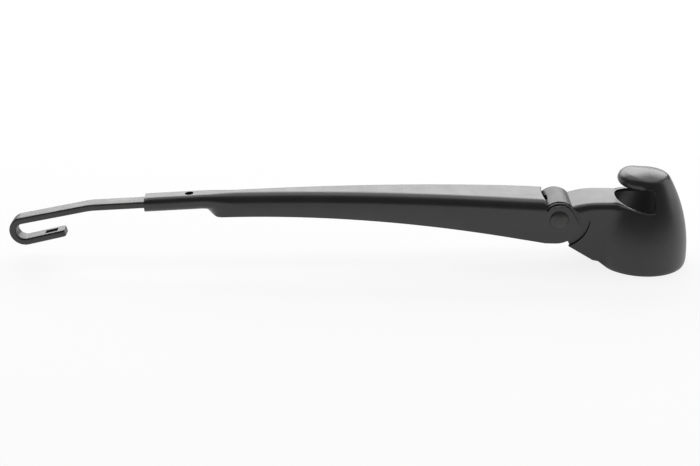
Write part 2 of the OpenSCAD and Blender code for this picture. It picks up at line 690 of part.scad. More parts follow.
// Radius of the crown's arc that touches a shoulder arc at c with radius r
function crown_r(c, r) = let (h = dome_top - c[1]) (c * c - c[1] * c[1] + h * h - r * r) / (2 * (h - r));
function crown_a(c, r) = atan2(c[1] - dome_top + crown_r(c, r), c[0]);
back_a = crown_a(shoulder_c, shoulder_r);
front_a = crown_a(brow_c, brow_r);
hood_steps = 5;
back_profile = concat(
    [for (i = [0:hood_steps - 1]) let (z = mix(visor_back_z, shoulder_z, i / hood_steps)) [dome_radius(z), z]],
    arc(shoulder_c[0], shoulder_c[1], shoulder_r, shoulder_a, back_a, hood_steps),
    [for (i = [1:hood_steps - 1]) let (r = crown_r(shoulder_c, shoulder_r), a = mix(back_a, 90, i / hood_steps))
        [r * cos(a), dome_top - r + r * sin(a)]]);
front_profile = concat(
    [for (i = [0:hood_steps - 1]) let (a = mix(-90, 0, i / hood_steps))
        [visor_r - lip_r + lip_r * cos(a), visor_z + lip_r + lip_r * sin(a)]],
    arc(brow_c[0], brow_c[1], brow_r, 6, front_a, hood_steps),
    [for (i = [1:hood_steps - 1]) let (r = crown_r(brow_c, brow_r), a = mix(front_a, 90, i / hood_steps))
        [r * cos(a), dome_top - r + r * sin(a)]]);
hood_sides = 4 * nose_steps;
function hood_ring(back, front) = [for (j = [0:hood_sides - 1])
    let (a = -360 * j / hood_sides, p = mix(back, front, smooth(-cos(a)))) [p[0] * cos(a), p[0] * sin(a), p[1]]];

// Crown and visor, closed below by strips across from side to side
module hood() {
    rings = [for (i = [0:len(back_profile) - 1]) hood_ring(back_profile[i], front_profile[i])];
    n = hood_sides;
    last = (len(rings) - 1) * n;
    strips = [for (j = [1:n / 2 - 2]) [n - j, n - j - 1, j + 1, j]];
    polyhedron(points = concat([for (ring = rings) each ring], [[0, 0, dome_top]]), convexity = 8,
        faces = concat(side_faces(n, len(rings)), strips, [[1, 0, n - 1], [n / 2 + 1, n / 2, n / 2 - 1]],
            [for (j = [0:n - 1]) [last + j, last + (j + 1) % n, last + n]]));
}

// Wall of the dome behind the opening, between the lower body and the crown
module upper_wall() {
    levels = [for (i = [0:3]) mix(bridge_top, visor_back_z, i / 3)];
    difference() {
        skin([for (z = levels) hood_ring([dome_radius(z), z], [dome_radius(z), z])]);
        translate([slot_reach - far_away, -far_away, 0]) cube([far_away, 2 * far_away, far_away]);
    }
}

// Side view of the room above the sill
module sill_side() {
    intersection() {
        translate([slot_reach, sill_z + sill_arc_r]) circle(sill_arc_r);
        translate([slot_reach - far_away, sill_z]) square([far_away, bridge_top + cut_over - sill_z]);
    }
}

hollow_step = 0.3;
hollow_foot_z = 29;
hollow_neck_z = 43.5;
hollow_r = 11.4;
// Room inside the upper dome, open to the front through the opening
module hood_hollow() {
    rotate_extrude() polygon(concat(
        [[0, hollow_foot_z]],
        [for (i = [0:6]) let (z = mix(hollow_foot_z, hollow_neck_z, i / 6))
            [dome_radius(z) - cover_wall - hollow_step, z]],
        [[hollow_r, visor_z + 0.4], [hollow_r - 1, dome_top - 4.4], [hollow_r - 3.5, dome_top - 3], [0, dome_top - 2.6]]));
}

lip_way = unit(lip_line[1] - lip_line[0]);
under_way = unit(under_line[0] - under_line[1]);

module below_lip_line() {
    polygon([lip_line[0] - lip_way * far_away, lip_line[0] + lip_way * far_away, [-far_away, -far_away]]);
}

// Side view of a prong: a ring on the bush and a plate back to the flank
module prong_side() {
    translate([pivot_x, pivot_h]) circle(prong_ring_r);
    intersection() {
        translate([pivot_x, pivot_h]) circle(flank_front_r + prong_root);
        below_lip_line();
        polygon([[pivot_x + 5, pivot_h + far_away], [pivot_x + 5, pivot_h], [pivot_x, pivot_h], under_line[0] + [0.6, 0.6],
            under_line[1] + [0, 0.6], [far_away, pivot_h - flank_front_r], [far_away, pivot_h + far_away]]);
    }
}

module head_cover() {
    color(plastic_black) difference() {
        union() {
            difference() {
                union() {
                    difference() {
                        cover_body(0);
                        across(2 * far_away) sill_side();
                    }
                    upper_wall();
                    hood();
                }
                cover_body(cover_wall);
                hood_hollow();
                across(2 * far_away) intersection() {
                    translate([pivot_x, pivot_h]) circle(flank_front_r);
                    below_lip_line();
                }
            }
            for (y0 = [-prong_outer, prong_inner]) side_plate(y0, y0 + prong_t) prong_side();
        }
        across(2 * far_away) polygon(concat([[-far_away, -far_away], under_line[0] + under_way * far_away],
            under_line, [[under_line[4][0], -far_away]]));
        across(2 * knuckle_half) translate([pivot_x, pivot_h]) circle(knuckle_r + cover_gap);
        rod_y(pivot_x, pivot_h, bush_flange_r + prong_clear, -far_away, far_away);
    }
}

mounting_head();
head_cover();
arm_channel();
blade_bar();
pivot_rivet();
pivot_bush_near();
pivot_bush_far();
link_pin();
spring_link();
tension_spring();
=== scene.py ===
# %% [markdown]
# # A rear wiper arm with a hooded head
#
# The object is a black wiper arm, about 40 cm long: a flat bar with a hook for the blade, a pressed sheet
# channel that holds the bar, a sprung knuckle joint, and a moulded cover over the spindle.
# This lesson dresses the bare solids of the arm. Flat sheet, bent bar and moulded shell are each worked out
# as a surface from a formula, in millimetres, and given the finish of the real piece.

# %% Load the frame
import json
import math
import bpy
import bmesh
import numpy as np
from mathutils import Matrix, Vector


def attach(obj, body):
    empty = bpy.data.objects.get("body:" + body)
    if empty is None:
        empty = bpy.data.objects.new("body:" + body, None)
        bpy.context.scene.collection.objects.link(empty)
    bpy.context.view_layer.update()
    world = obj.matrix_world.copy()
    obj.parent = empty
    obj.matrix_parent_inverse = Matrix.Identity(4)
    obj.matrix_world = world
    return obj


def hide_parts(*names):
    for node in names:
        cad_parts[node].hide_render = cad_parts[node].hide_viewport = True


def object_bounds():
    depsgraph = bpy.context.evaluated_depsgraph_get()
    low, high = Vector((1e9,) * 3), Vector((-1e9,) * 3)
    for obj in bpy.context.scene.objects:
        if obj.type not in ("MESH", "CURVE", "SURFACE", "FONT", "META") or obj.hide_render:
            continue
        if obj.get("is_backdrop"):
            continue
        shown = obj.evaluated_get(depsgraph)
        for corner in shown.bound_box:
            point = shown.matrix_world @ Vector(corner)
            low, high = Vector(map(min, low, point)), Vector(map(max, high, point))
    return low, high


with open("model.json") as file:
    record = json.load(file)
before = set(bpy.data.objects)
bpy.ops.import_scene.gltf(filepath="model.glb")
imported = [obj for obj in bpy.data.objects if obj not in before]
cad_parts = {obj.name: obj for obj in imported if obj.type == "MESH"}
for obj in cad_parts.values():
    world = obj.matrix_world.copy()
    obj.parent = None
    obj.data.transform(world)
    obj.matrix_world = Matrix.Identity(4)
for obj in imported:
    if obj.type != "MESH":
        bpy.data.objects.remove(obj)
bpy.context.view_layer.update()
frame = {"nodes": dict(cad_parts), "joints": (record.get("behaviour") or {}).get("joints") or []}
nodes = frame["nodes"]
joints = {joint["name"]: joint for joint in frame["joints"]}
print("nodes", sorted(nodes))

# %% [markdown]
# ## Small tools
#
# Every surface here is a grid of points: rows along one parameter, columns along the other. Two helpers
# turn grids into one mesh, and merging its doubles closes the seams between grids and the poles.
# A formula that blends or bends is a short function of whole arrays, so no loop ever visits a vertex.

# %% Formulas and grids
MM = 0.001


def smooth(t):
    """Goes from 0 to 1 with a level start and end."""
    c = np.clip(t, 0, 1)
    return c * c * (3 - 2 * c)


def mix(a, b, t):
    """The point at share t of the way from a to b."""
    return a + (b - a) * t


def arch(x, crest_x, crest_z, radius):
    """Height at x of a shallow circle whose highest point is the crest."""
    return crest_z - radius + np.sqrt(radius**2 - (x - crest_x) ** 2)


def ring_arc(cx, cz, radius, start, end, count):
    """Points along an arc round (cx, cz), from one angle to another in degrees."""
    a = np.radians(np.linspace(start, end, count))
    return np.stack([cx + radius * np.cos(a), cz + radius * np.sin(a)], -1)


def mirrored(grid):
    """The same grid on the other side of the arm, with its faces still outwards."""
    return grid[:, ::-1] * [1, -1, 1]


def grid_faces(rows, cols, first=0):
    """The quads between neighbouring rows and columns of a grid."""
    r, c = np.meshgrid(np.arange(rows - 1), np.arange(cols - 1), indexing="ij")
    a = first + r * cols + c
    return np.stack([a, a + 1, a + 1 + cols, a + cols], -1).reshape(-1, 4)


# %% From grids to a piece
def new_piece(name, grids, turn_out=False):
    """One object from several grids of points in mm, with the doubles along their seams merged."""
    points, faces, first = [], [], 0
    for grid in grids:
        rows, cols = grid.shape[:2]
        faces.append(grid_faces(rows, cols, first))
        points.append(grid.reshape(-1, 3))
        first += rows * cols
    faces = np.concatenate(faces)
    if turn_out:
        faces = faces[:, ::-1]
    mesh = bpy.data.meshes.new(name)
    mesh.from_pydata((np.concatenate(points) * MM).tolist(), [], faces.tolist())
    merge = bmesh.new()
    merge.from_mesh(mesh)
    bmesh.ops.remove_doubles(merge, verts=merge.verts, dist=0.002 * MM)
    merge.to_mesh(mesh)
    merge.free()
    piece = bpy.data.objects.new(name, mesh)
    bpy.context.scene.collection.objects.link(piece)
    return piece


def settle(piece, sharp=48):
    """Applies a piece's modifiers, and shades it smooth but for edges sharper than that many degrees."""
    graph = bpy.context.evaluated_depsgraph_get()
    mesh = bpy.data.meshes.new_from_object(piece.evaluated_get(graph))
    piece.modifiers.clear()
    piece.data = mesh
    mesh.name = piece.name
    solid = bmesh.new()
    solid.from_mesh(mesh)
    volume = solid.calc_volume(signed=True)
    if volume < 0:
        bmesh.ops.reverse_faces(solid, faces=solid.faces)
        solid.to_mesh(mesh)
    open_edges = sum(not edge.is_manifold for edge in solid.edges)
    solid.free()
    mesh.polygons.foreach_set("use_smooth", np.ones(len(mesh.polygons), bool))
    mesh.set_sharp_from_angle(angle=math.radians(sharp))
    mesh.calc_loop_triangles()
    print(piece.name, len(mesh.loop_triangles), "triangles,", round(abs(volume) / MM**3), "mm3,",
          open_edges, "open edges")
    return piece


def join(piece, *others):
    """Adds the meshes of other pieces to this one and removes them."""
    whole = bmesh.new()
    for one in (piece, *others):
        whole.from_mesh(one.data)
    whole.to_mesh(piece.data)
    whole.free()
    for one in others:
        bpy.data.objects.remove(one)


def thicken(piece, wall):
    """Gives an open surface a wall of that many mm, inwards."""
    solid = piece.modifiers.new("wall", "SOLIDIFY")
    solid.thickness = wall * MM
    solid.offset = -1
    solid.use_even_offset = True
    solid.use_rim = True
    return solid


def soften(piece, width, steps=2, angle=50):
    """Rounds every edge sharper than the angle by that many mm, as a tumbled or moulded edge is."""
    round_off = piece.modifiers.new("edges", "BEVEL")
    round_off.width = width * MM
    round_off.segments = steps
    round_off.limit_method = "ANGLE"
    round_off.angle_limit = math.radians(angle)
    round_off.use_clamp_overlap = True
    return round_off


def cut(piece, cutter):
    """Takes the cutter's shape out of the piece and removes the cutter."""
    hole = piece.modifiers.new("cut", "BOOLEAN")
    hole.operation = "DIFFERENCE"
    hole.solver = "EXACT"
    hole.object = cutter
    graph = bpy.context.evaluated_depsgraph_get()
    mesh = bpy.data.meshes.new_from_object(piece.evaluated_get(graph))
    piece.modifiers.clear()
    piece.data = mesh
    bpy.data.objects.remove(cutter)


# %% [markdown]
# ## The places that everything hangs on
#
# The joints of the arm give the pivot and the link pin. The other sizes are those of the solids.

# %% Places and main sizes
pivot_x, _, pivot_z = (value / MM for value in joints["arm_lift"]["pos_m"])
pin_x, _, pin_z = (value / MM for value in joints["link_turn"]["pos_m"])
sheet_t = 1.5
ear_outer = 14.3
sleeve_reach, sleeve_root = 290, 257
sleeve_slope = math.tan(math.radians(3.3))
print("pivot", pivot_x, pivot_z, "link pin", pin_x, pin_z)


def turned(name, profile):
    """A closed turned piece about the pivot's axis, from radius and place along Y of its profile."""
    a = np.linspace(0, 2 * math.pi, 73)
    r, y = profile[:, :1], profile[:, 1:]
    return new_piece(name, [np.stack([pivot_x + r * np.cos(a), y + 0 * a, pivot_z + r * np.sin(a)], -1)])


# %% [markdown]
# ## The pressed channel
#
# The real channel starts as a flat blank. A press folds its two sides down, and at the narrow end curls their
# lower edges in under the bar. Past that sleeve the curl unrolls within about a centimetre and the same strip
# of sheet hangs down as the channel's side. Near the pivot the sides run on as two round ears.
# It could be boxes joined and bevelled, but then sleeve and channel would meet in a step. Here one section of
# the sheet is carried along the arm: curled lip, side, bend, web. The ears are patches that carry on the side
# walls, so that ear and wall are one flat face, and one Solidify gives the sheet's thickness.

# %% Lines of the channel along the arm
bar_w, bar_t = 9, 4
sleeve_half = bar_w / 2 + 0.3 + sheet_t
sleeve_h, curl_r, bend_r = 8.7, 3.7, 6.2
bulge_h = 0.3


def web_line(x):
    """Height of the web: one long arch, then straight along the sleeve."""
    arched = arch(np.maximum(x, -sleeve_root), -160, 41.9, 1945)
    return arched + np.minimum(x + sleeve_root, 0) * sleeve_slope


def lower_line(x):
    """Height of the hanging sides' lower edge: a long arch."""
    return arch(np.maximum(x, -sleeve_root), -207, 27.6, 800)


def flare(x):
    """Share of the channel's full width at x: straight, with its two ends eased."""
    t = np.clip((x + sleeve_root) / (sleeve_root - 72), 0, 1)
    return mix(t, smooth(t), 0.25)


# %% The channel's sheet
lip_cols, side_cols, bend_cols, web_cols = 16, 6, 11, 12
side_end = lip_cols + side_cols - 2
fan_start, channel_end = -76, pivot_x - 7.2
web_cut_r, web_cut_half = 48, 13.02
web_cut_x = pivot_x - 9 + web_cut_r
section = np.concatenate([np.linspace(-1, 0, lip_cols), np.linspace(0, 1, side_cols)[1:],
                          1 + np.linspace(0, 1, bend_cols)[1:], 2 + np.linspace(0, 1, web_cols)[1:]])


def curled_lip(v, half, start_z, length, curl):
    """The lip's sheet at share -v of its length: round an arc through the curl's angle, then straight on."""
    s = length * np.clip(-v, 0, 1)
    arc = curl_r * curl
    a = np.minimum(s, arc) / curl_r
    beyond = np.maximum(s - arc, 0)
    y = half - curl_r * (1 - np.cos(a)) - beyond * np.sin(curl)
    return y, start_z - curl_r * np.sin(a) - beyond * np.cos(curl)


def channel_grid():
    """Half of the sheet: the section goes from the lip up the side, round the bend and on to the middle line.

    Rows follow the arm. Past fan_start each column runs straight to its own end, on the side's upright end
    or on the arc that cuts off the web. The side swells outwards by a parabola of bulge_h.
    """
    x = np.concatenate([np.linspace(-sleeve_reach, -sleeve_root, 12),
                        np.linspace(-sleeve_root, -sleeve_root + 9, 19)[1:],
                        np.linspace(-sleeve_root + 9, fan_start, 70)[1:]])
    ends = np.linspace(0, 1, 13)[1:]
    share = np.concatenate([np.zeros(len(x)), ends])[:, None]
    x = np.concatenate([x, np.full(len(ends), fan_start)])[:, None]
    v = section[None, :]
    half = mix(sleeve_half, ear_outer, flare(x + share * (channel_end - fan_start)))
    past_sleeve = smooth((x + sleeve_root) / 22)
    bend = mix(curl_r, bend_r, past_sleeve)
    a = np.radians(np.clip(v - 1, 0, 1) * 90)
    y = half - bend + bend * np.cos(a)
    y = np.where(v > 2, (half - bend) * (3 - v), y)
    cut_x = web_cut_x - np.sqrt(web_cut_r**2 - np.minimum(y, web_cut_half) ** 2)
    place = mix(x, np.where(v > 1, cut_x, channel_end), share)
    top = web_line(place)
    curl = math.pi / 2 * (1 - smooth((x + sleeve_root + 1.5) / 13))
    lip_z = top - mix(sleeve_h - curl_r, bend_r + 2, past_sleeve)
    length = mix(lip_z - lower_line(place), curl_r * math.pi / 2 + half - curl_r - 0.4, curl / (math.pi / 2))
    lip_y, lip_z_at = curled_lip(v, half, lip_z, length, curl)
    z = np.where(v <= 1, mix(lip_z, top - bend, v), top - bend + bend * np.sin(a))
    y, z = np.where(v < 0, lip_y, y), np.where(v < 0, lip_z_at, z)
    foot, head = lower_line(place), top - bend
    up = np.clip((z - foot) / (head - foot), 0, 1)
    bulge = bulge_h * smooth((x + sleeve_root - 8) / 30) * (1 - smooth((x + 112) / 32))
    return np.stack([place, y + np.where(v <= 1, bulge * 4 * up * (1 - up), 0), z], -1)


near_half = channel_grid()
print("channel section", near_half.shape)


# %% The ears
def coons(low, high, left, right):
    """A patch between four edges: the low and high edges blended, and the left and right edges added back."""
    u = np.linspace(0, 1, len(low))[:, None, None]
    v = np.linspace(0, 1, len(left))[None, :, None]
    flat = mix(low[:, None], high[:, None], v) + mix(left[None], right[None], u)
    corners = mix(mix(low[0], high[0], v), mix(low[-1], high[-1], v), u)
    return flat - corners


def spread(line, count):
    """The same line with points at even distances."""
    steps = np.concatenate([[0], np.cumsum(np.linalg.norm(np.diff(line, axis=0), axis=1))])
    at = np.linspace(0, steps[-1], count)
    return np.stack([np.interp(at, steps, line[:, k]) for k in range(2)], -1)


ear_top_r, ear_low_r, corner_r = 8.6, 14, 2.6
rear_a = 29.8
rear_n = np.array([math.cos(math.radians(rear_a)), math.sin(math.radians(rear_a))])
rear_t = np.array([rear_n[1], -rear_n[0]])
low_c = np.array([-1.0, -1.0])
base = rear_n * (ear_top_r - corner_r) - low_c
run = -base @ rear_t + math.sqrt((base @ rear_t) ** 2 - base @ base + (ear_low_r - corner_r) ** 2)
corner = rear_n * (ear_top_r - corner_r) + rear_t * run
corner_a = math.degrees(math.atan2(*(corner - low_c)[::-1]))


def ear_patch():
    """One ear in its own plane: the lower arc below, the round top and straight rear edge above."""
    left = near_half[-1, :side_end + 1][:, [0, 2]] - [pivot_x, pivot_z]
    start_low, start_high = left[0], left[-1]
    low = spread(np.concatenate([[start_low], ring_arc(*low_c, ear_low_r, -90, corner_a, 40)]), 40)
    high = spread(np.concatenate([[start_high], ring_arc(0, 0, ear_top_r, 136, rear_a, 40),
                                  [corner + rear_n * corner_r]]), 40)
    right = ring_arc(*corner, corner_r, corner_a, rear_a, len(left))
    flat = coons(low, high, left, right) + [pivot_x, pivot_z]
    return np.stack([flat[..., 0], np.full(flat.shape[:2], ear_outer), flat[..., 1]], -1)


ear = ear_patch()
channel = new_piece("channel_sheet", [near_half, ear, mirrored(near_half), mirrored(ear)])
thicken(channel, sheet_t)
print("ear", ear.shape)


# %% [markdown]
# ## The bar and its hook
#
# The bar is a flat steel strip, 9 by 4 mm, with round rolled edges. It runs through the sleeve, bends a
# little and is turned back on itself into the hook that takes the blade.
# A curve with a profile could draw it too, but its ends would stay square. Here the middle line is a list of
# straight runs and arcs. A rounded rectangle is carried along that line, and it narrows and thins at both
# ends, so that ends and corners come out rounded. The slot is cut afterwards.

# %% The bar's middle line
bar_mid = sheet_t + 0.22 + bar_t / 2
sleeve_tilt, hook_tilt, limb_tilt, tail_tilt = 3.3, 11.6, 13.5, 2.2
hook_mid_r = 4.75 + bar_t / 2
limb_len, tail_len = 22.8, 71 / math.cos(math.radians(tail_tilt))
solid_web_z, bend_reach = 38.93, 322
root = np.array([-sleeve_root, solid_web_z - bar_mid])
bend = root + [-(bend_reach - sleeve_root), -(bend_reach - sleeve_root) * sleeve_slope]
root_turn_r, bend_turn_r = 30, 45


def way(degrees):
    """Unit step in that direction."""
    return np.array([math.cos(math.radians(degrees)), math.sin(math.radians(degrees))])


def left_of(degrees):
    """Unit step to the left of that direction."""
    return way(degrees + 90)


hook_x = -361.45
hook_top_x = hook_x - hook_mid_r * math.sin(math.radians(hook_tilt))
hook_top = np.array([hook_top_x, bend[1] + (hook_top_x - bend[0]) * math.tan(math.radians(hook_tilt))])
hook_c = np.array([hook_x, hook_top[1] - hook_mid_r * math.cos(math.radians(hook_tilt))])


def turn(corner_at, a0, a1, radius, count):
    """Centre and angles of an arc that rounds a corner of the line, where it turns left from a0 to a1."""
    centre = corner_at - radius * math.tan(math.radians(a1 - a0) / 2) * way(a0) + radius * left_of(a0)
    a = np.linspace(a0, a1, count)
    return centre - radius * np.stack([left_of(k) for k in a]), a


def bar_line():
    """Points of the middle line and the line's direction at each, from the bar's tail to the limb's end."""
    parts = [
        (np.array([root + tail_len * way(-tail_tilt)]), [180 - tail_tilt]),
        turn(root, 180 - tail_tilt, 180 + sleeve_tilt, root_turn_r, 8),
        turn(bend, 180 + sleeve_tilt, 180 + hook_tilt, bend_turn_r, 14)]
    a = np.linspace(180 + hook_tilt, 360 + limb_tilt, 72)
    parts.append((hook_c - hook_mid_r * np.stack([left_of(k) for k in a]), a))
    limb = parts[-1][0][-1]
    parts.append((np.array([limb + limb_len * way(limb_tilt)]), [360 + limb_tilt]))
    return np.concatenate([p for p, _ in parts]), np.concatenate([a for _, a in parts]), limb


line, line_a, limb_start = bar_line()
along = np.concatenate([[0], np.cumsum(np.linalg.norm(np.diff(line, axis=0), axis=1))])
print("bar's middle line", round(along[-1], 1), "mm")


# %% The bar
def rounded_box(half_w, half_t, radius, count=8):
    """Outline of a rounded rectangle, as shares of its corner centres and of its corner radius."""
    quarter = np.radians(np.linspace(0, 90, count))
    turns = np.concatenate([quarter + k * math.pi / 2 for k in range(4)])
    signs = np.repeat([[1, 1], [-1, 1], [-1, -1], [1, -1]], count, axis=0)
    inner = signs * (np.array([half_w, half_t]) - radius)
    outline = inner + radius * np.stack([np.cos(turns), np.sin(turns)], -1)
    return np.concatenate([outline, outline[:1]])


edge_r, end_r, tip_r = 1.0, 0.6, 2
slot_l, slot_w, slot_corner_r, slot_at = 7.1, 3.5, 0.5, 14.4


def bar_grid():
    """The rounded section at each station of the line, drawn in at the two ends by quarter circles."""
    ends = 1 - np.cos(np.radians(np.linspace(0, 90, 7)))
    tips = tip_r * (1 - np.cos(np.radians(np.linspace(0, 90, 13))))
    s = np.unique(np.concatenate([along, end_r * ends, along[-1] - end_r * ends, along[-1] - tips,
                                  np.linspace(along[-1] - limb_len, along[-1], 18)]))
    x = np.interp(s, along, line[:, 0])
    z = np.interp(s, along, line[:, 1])
    a = np.radians(np.interp(s, along, line_a))
    end = np.minimum(s, along[-1] - s)
    inset = end_r - np.sqrt(np.maximum(end_r**2 - np.maximum(end_r - end, 0) ** 2, 0))
    tip = np.maximum(tip_r - (along[-1] - s), 0)
    narrow = tip_r - np.sqrt(np.maximum(tip_r**2 - tip**2, 0))
    section_at = rounded_box(bar_w / 2, bar_t / 2, edge_r)[None]
    half_w = (bar_w / 2 - np.maximum(narrow, inset))[:, None]
    half_t = (bar_t / 2 - inset)[:, None]
    y = section_at[..., 0] / (bar_w / 2) * half_w
    n = section_at[..., 1] / (bar_t / 2) * half_t
    ring = np.stack([x[:, None] - n * np.sin(a)[:, None], y, z[:, None] + n * np.cos(a)[:, None]], -1)
    middle = np.stack([x, 0 * x, z], -1)[:, None] + 0 * ring
    return np.concatenate([middle[:1], ring, middle[-1:]])


def slot_cutter():
    """A rounded block across the free limb where the blade's latch goes."""
    a = limb_tilt
    outline = rounded_box(slot_l / 2, slot_w / 2, slot_corner_r)
    at = limb_start + slot_at * way(a)
    levels = np.array([-bar_t, bar_t])[:, None]
    ring = np.stack([at[0] + outline[:, 0] * way(a)[0] + levels * left_of(a)[0], outline[:, 1] + 0 * levels,
                     at[1] + outline[:, 0] * way(a)[1] + levels * left_of(a)[1]], -1)
    caps = ring.mean(axis=1, keepdims=True) + 0 * ring
    return new_piece("slot", [np.concatenate([caps[:1], ring, caps[1:]])])


def round_cutter(x, z, radius, height):
    """A tall cylinder for a round hole at x, from z up."""
    outline = ring_arc(x, 0, radius, 0, 360, 49)
    levels = np.array([z, z + height])[:, None]
    ring = np.stack([outline[:, 0] + 0 * levels, outline[:, 1] + 0 * levels, levels + 0 * outline[:, 0]], -1)
    caps = np.array([x, 0, 0]) + [0, 0, 1] * ring[:, :1]
    caps = caps + 0 * ring
    return new_piece("hole", [np.concatenate([caps[:1], ring, caps[1:]])])


bar = new_piece("bar_strip", [bar_grid()])
cut(bar, slot_cutter())
anchor = root + (tail_len - 4) * way(-tail_tilt)
anchor_r = 1.6
cut(bar, round_cutter(anchor[0], anchor[1] - bar_t, anchor_r, 2 * bar_t))
soften(bar, 0.25)
settle(bar)
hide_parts("blade_bar")
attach(bar, "arm")


# %% [markdown]
# ## Holes in the channel
#
# The sheet has one small round hole in the sleeve's top, where the bar's end is staked, and the rivet's hole in
# each ear. They could be part of the grid, but a hole in a curved grid spoils the rows round it. So they are
# punched through the finished sheet with a Boolean, as a press would, and the Bevel then breaks every edge.

# %% The channel's holes and edges
gauge_x, gauge_r, rivet_hole_r, reach_y = -264.3, 2.45, 4.02, 20
cut(channel, round_cutter(gauge_x, web_line(np.array(gauge_x)) - 3.4, gauge_r, 8))
cut(channel, turned("rivet_hole", np.array([[0, -reach_y], [rivet_hole_r, -reach_y], [rivet_hole_r, reach_y],
                                            [0, reach_y]])))
soften(channel, 0.3)
settle(channel)
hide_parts("arm_channel")
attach(channel, "arm")


# %% [markdown]
# ## The head cover
#
# The cover is one moulding: a bell-shaped dome over the spindle, a hollow neck with two flanks, a bridge, and
# a visor over the opening that the washer nozzle sprays through.
# A cage with Subdivision Surface could be pulled to this shape by eye. But each height of the cover is plain
# geometry, so it is worked out instead. Its plan outline at any height is a straight flank, a hollow fillet
# and the dome's circle. That outline is swept up the wall, rounded over at the bridge, and drawn in to the
# middle line or to the rim of the opening. The crown above the opening is one profile behind and another at
# the visor, blended round the spindle.
# All these grids meet in shared columns, and one Solidify gives the 2 mm wall, as the mould does.

# %% Lines of the cover
dome_r, dome_arc_r, foot_arc_r, wide_z, rim_z = 27, 94, 8, 1, -1.8
neck_half = 13.9
foot_fillet_r, roof_fillet_r = 8, 12
slot_reach, sill_z, sill_arc_r = 2.2, 34.6, 65
bridge_x, bridge_z, bridge_arc_r = -27.8, 37.8, 50
roof_edge_r, sill_edge_r, crown_foot_z = 3.8, 0.6, 47.2
under_x = [-44.6, -30.9, -30.8, -26.6, -24.3, -22, -20.2]
under_z = [11.7, 3.3, 2.9, 1.95, 0.3, -1.15, rim_z]


def dome_radius(z):
    """The dome's radius at height z: a tall arc above its widest place, a tight one below."""
    r = np.where(z < wide_z, foot_arc_r, dome_arc_r)
    return dome_r - r + np.sqrt(r**2 - (z - wide_z) ** 2)


def roof_line(x):
    """Height of the top: the bridge's arch, level, then the sill's hollow curve, with the crease eased."""
    bridge = arch(np.minimum(x, bridge_x), bridge_x, bridge_z, bridge_arc_r)
    sill = sill_z + sill_arc_r - np.sqrt(sill_arc_r**2 - (np.minimum(x, slot_reach) - slot_reach) ** 2)
    share = np.clip(0.5 + (sill - bridge) / 0.8, 0, 1)
    return mix(sill, bridge, share) - 0.4 * share * (1 - share)


def front_line(z):
    """Reach of the flank's front edge: a circle round the pivot, then the straight line of the lip."""
    circle = pivot_x + np.sqrt(np.maximum(18.2**2 - (z - pivot_z) ** 2, 0))
    lip = pivot_x + 17.8 - (z - pivot_z + 1) * 10.1 / 7.4
    return np.maximum(np.minimum(circle, lip), pivot_x + 5)


def plan(i, z):
    """Outline at height z and its outward normal.

    i runs along the flank to 1, round the fillet to 2, over the dome to the opening's end at 3, and to the
    middle of the back at 4.
    """
    r = dome_radius(z)
    fillet_r = mix(foot_fillet_r, roof_fillet_r, smooth((z - 6) / 26))
    fillet_y = neck_half + fillet_r
    touch_x = -np.sqrt((r + fillet_r) ** 2 - fillet_y**2)
    touch_a = np.arctan2(fillet_y, touch_x)
    end_a = np.arccos(slot_reach / r)
    b = mix(-math.pi / 2, touch_a - math.pi, np.clip(i - 1, 0, 1))
    c = np.where(i < 3, mix(touch_a, end_a, np.clip(i - 2, 0, 1)), mix(end_a, 0, np.clip(i - 3, 0, 1)))
    flank_x = mix(front_line(z), touch_x, np.clip(i, 0, 1))
    x = np.where(i <= 1, flank_x, np.where(i <= 2, touch_x + fillet_r * np.cos(b), r * np.cos(c)))
    y = np.where(i <= 1, neck_half, np.where(i <= 2, fillet_y + fillet_r * np.sin(b), r * np.sin(c)))
    out_x = np.where(i <= 1, 0, np.where(i <= 2, -np.cos(b), np.cos(c)))
    out_y = np.where(i <= 1, 1, np.where(i <= 2, -np.sin(b), np.sin(c)))
    return x, y, out_x, out_y


# %% The cover's walls and roof
def settle_height(i, z, line):
    """Height at which the outline's own x lies on a line of heights, found by repeated halving steps."""
    for _ in range(40):
        z = mix(z, line(plan(i, z)[0]), 0.5)
    return z


def wall_rows(i):
    """Rows up the wall and over its rounded top edge, whose radius fades where the sill begins."""
    edge = mix(roof_edge_r, sill_edge_r, smooth(i - 1))
    low = settle_height(i, 2 + 0 * i, lambda x: np.interp(x, under_x, under_z))
    low = np.where(i >= 3, rim_z, low)
    top = settle_height(i, 36 + 0 * i, roof_line)
    top = np.where(i >= 3, sill_z, top)
    up = np.linspace(0, 1, 26)[:, None]
    over = np.radians(np.linspace(0, 90, 9))[1:, None]
    z = np.concatenate([mix(low, top - edge, up), top - edge + edge * np.sin(over)])
    inset = np.concatenate([0 * up * i, edge * (1 - np.cos(over))])
    x, y, out_x, out_y = plan(i + 0 * z, z)
    return np.stack([x - inset * out_x, y - inset * out_y, z], -1)


def front_grid():
    """Flank, fillet and dome up to the opening's end, and the roof, drawn in to the middle or the opening."""
    i = np.concatenate([np.linspace(0, 1, 26), 1 + np.linspace(0, 1, 20)[1:], 2 + np.linspace(0, 1, 14)[1:]])
    wall = wall_rows(i)
    edge = wall[-1]
    hole_r = mix(17.2, 18.5, np.clip(i - 1, 0, 2) / 2)
    edge_a = np.arctan2(edge[:, 1], edge[:, 0])
    hole_a = np.where(i < 2, mix(math.pi, edge_a[i == 2], np.clip(i - 1, 0, 1)), edge_a)
    inner = np.stack([np.where(i <= 1, mix(edge[0, 0], -hole_r, i), hole_r * np.cos(hole_a)),
                      np.where(i <= 1, 0, hole_r * np.sin(hole_a))], -1)
    draw = np.linspace(0, 1, 15)[1:, None, None]
    flat = mix(edge[None, :, :2], inner[None], draw)
    roof = np.concatenate([flat, roof_line(flat[..., :1])], -1)
    return np.concatenate([wall, roof])


